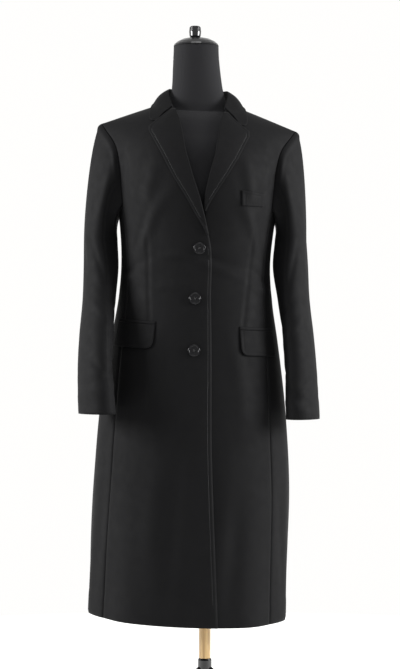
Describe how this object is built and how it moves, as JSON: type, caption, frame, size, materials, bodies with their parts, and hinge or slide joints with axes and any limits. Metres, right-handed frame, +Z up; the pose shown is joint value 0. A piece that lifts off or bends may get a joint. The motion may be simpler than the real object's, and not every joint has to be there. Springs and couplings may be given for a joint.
{
  "type": "coat on a dress form",
  "caption": "Long single-breasted coat with notched lapels, flap pockets and set-in sleeves, buttoned on a limbless dress form with a pole and tripod.",
  "frame": {"origin": "on the floor, under the middle of the whole part's box", "axes": "+Z up, the coat's front faces -Y, the wearer's left is at +X"},
  "size_m": [0.4976, 0.4522, 1.5721],
  "materials": {
    "wool": "black napped wool",
    "button": "glossy black",
    "jersey": "charcoal jersey",
    "black_gloss": "glossy black lacquer",
    "wood": "varnished"
  },
  "bodies": {
    "root": {"right_front": "wool", "left_front": "wool", "right_side": "wool", "left_side": "wool", "right_back": "wool", "left_back": "wool", "right_topsleeve": "wool", "right_undersleeve": "wool", "left_topsleeve": "wool", "left_undersleeve": "wool", "right_lapel": "wool", "left_lapel": "wool", "collar_stand": "wool", "collar_fall": "wool", "right_flap": "wool", "left_flap": "wool", "right_jet": "wool", "left_jet": "wool", "breast_welt": "wool", "button_top": "button", "button_middle": "button", "button_bottom": "button", "form_torso": "jersey", "neck_cap": "black_gloss", "finial": "black_gloss", "hub": "black_gloss", "leg_right": "black_gloss", "leg_left": "black_gloss", "leg_back": "black_gloss", "pole": "wood"}
  },
  "joints": []
}
